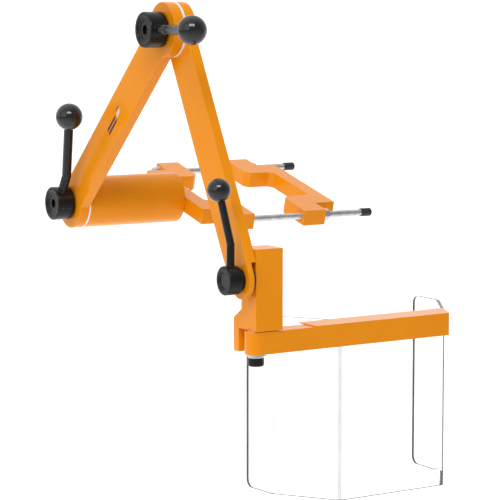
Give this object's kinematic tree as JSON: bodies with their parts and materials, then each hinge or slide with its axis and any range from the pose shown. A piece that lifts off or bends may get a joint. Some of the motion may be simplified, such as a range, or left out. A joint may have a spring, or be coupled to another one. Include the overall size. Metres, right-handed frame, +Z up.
{
  "type": "articulated machine guard arm",
  "caption": "Articulated guard arm: a column clamp, flat link arms with ball-lever joints and a swivelling bar that carries a bent clear shield.",
  "frame": {"origin": "middle of the clamp opening, between the two jaws as stored, on the axis of the spacer tube", "axes": "+X runs from the fixed jaw to the moving jaw along the tube axis and the rods, +Y points away from the shield, +Z is up along the upright shield"},
  "size_m": [0.414, 0.5006, 0.5447],
  "materials": {
    "orange_paint": "gloss powder coat",
    "black_metal": "satin black",
    "black_ball": "polished black",
    "black_plastic": "matt black",
    "zinc": "bright zinc plate",
    "white_washer": "smooth white",
    "clear_sheet": "clear polished sheet"
  },
  "bodies": {
    "column_clamp": {"fixed_jaw": "orange_paint", "front_rod": "zinc", "rear_rod": "zinc", "fixed_nuts": "zinc", "fixed_washers": "zinc", "rod_end_caps": "black_plastic", "spacer_tube": "orange_paint", "tube_front_plug": "zinc", "tube_rear_plug": "zinc", "tube_screw": "zinc", "shoulder_stud": "zinc", "shoulder_friction_washer": "white_washer"},
    "moving_jaw": {"moving_jaw": "orange_paint", "clamping_nuts": "zinc", "clamping_washers": "zinc"},
    "lower_arm": {"lower_arm": "orange_paint", "elbow_friction_washer": "white_washer", "shoulder_thrust_washer": "black_metal", "elbow_thrust_washer": "black_metal"},
    "upper_arm": {"upper_arm": "orange_paint", "elbow_stud": "zinc", "wrist_thrust_washer": "black_metal", "wrist_friction_washer": "black_plastic"},
    "shoulder_lever": {"shoulder_lever": "black_metal", "shoulder_lever_ball": "black_ball", "shoulder_lever_screw": "black_metal"},
    "elbow_lever": {"elbow_lever": "black_metal", "elbow_lever_ball": "black_ball", "elbow_lever_screw": "black_metal"},
    "wrist_lever": {"wrist_lever": "black_metal", "wrist_lever_ball": "black_ball", "wrist_lever_cap": "black_plastic"},
    "wrist_block": {"wrist_block": "orange_paint", "wrist_stud": "zinc", "hinge_screw": "black_metal", "hinge_washer": "zinc", "hinge_lock_washer": "zinc", "hinge_shim": "zinc"},
    "guard": {"guard_bar": "orange_paint", "retaining_strip": "orange_paint", "strip_screws": "zinc", "shield": "clear_sheet"}
  },
  "joints": [
    {"name": "jaw_slide", "type": "slide", "parent": "column_clamp", "child": "moving_jaw", "axis": [1, 0, 0], "range_m": [-0.066, 0.038]},
    {"name": "shoulder", "type": "hinge", "parent": "column_clamp", "child": "lower_arm", "pos_m": [-0.226, 0, 0], "axis": [1, 0, 0], "range_deg": [-30, 45]},
    {"name": "elbow", "type": "hinge", "parent": "lower_arm", "child": "upper_arm", "pos_m": [-0.2115, -0.23592, 0.20872], "axis": [1, 0, 0], "range_deg": [-90, 10]},
    {"name": "wrist", "type": "hinge", "parent": "upper_arm", "child": "wrist_block", "pos_m": [-0.189, -0.38033, -0.04966], "axis": [1, 0, 0], "range_deg": [-60, 20]},
    {"name": "guard_swing", "type": "hinge", "parent": "wrist_block", "child": "guard", "pos_m": [-0.1977, -0.37983, -0.11766], "axis": [0, 0, 1], "range_deg": [-120, 5]},
    {"name": "shoulder_lever_turn", "type": "hinge", "parent": "column_clamp", "child": "shoulder_lever", "pos_m": [-0.243, 0, 0], "axis": [1, 0, 0], "range_deg": [-40, 40]},
    {"name": "elbow_lever_turn", "type": "hinge", "parent": "upper_arm", "child": "elbow_lever", "pos_m": [-0.243, -0.23592, 0.20872], "axis": [1, 0, 0], "range_deg": [-40, 40]},
    {"name": "wrist_lever_turn", "type": "hinge", "parent": "wrist_block", "child": "wrist_lever", "pos_m": [-0.229, -0.38033, -0.04966], "axis": [1, 0, 0], "range_deg": [-40, 40]}
  ]
}
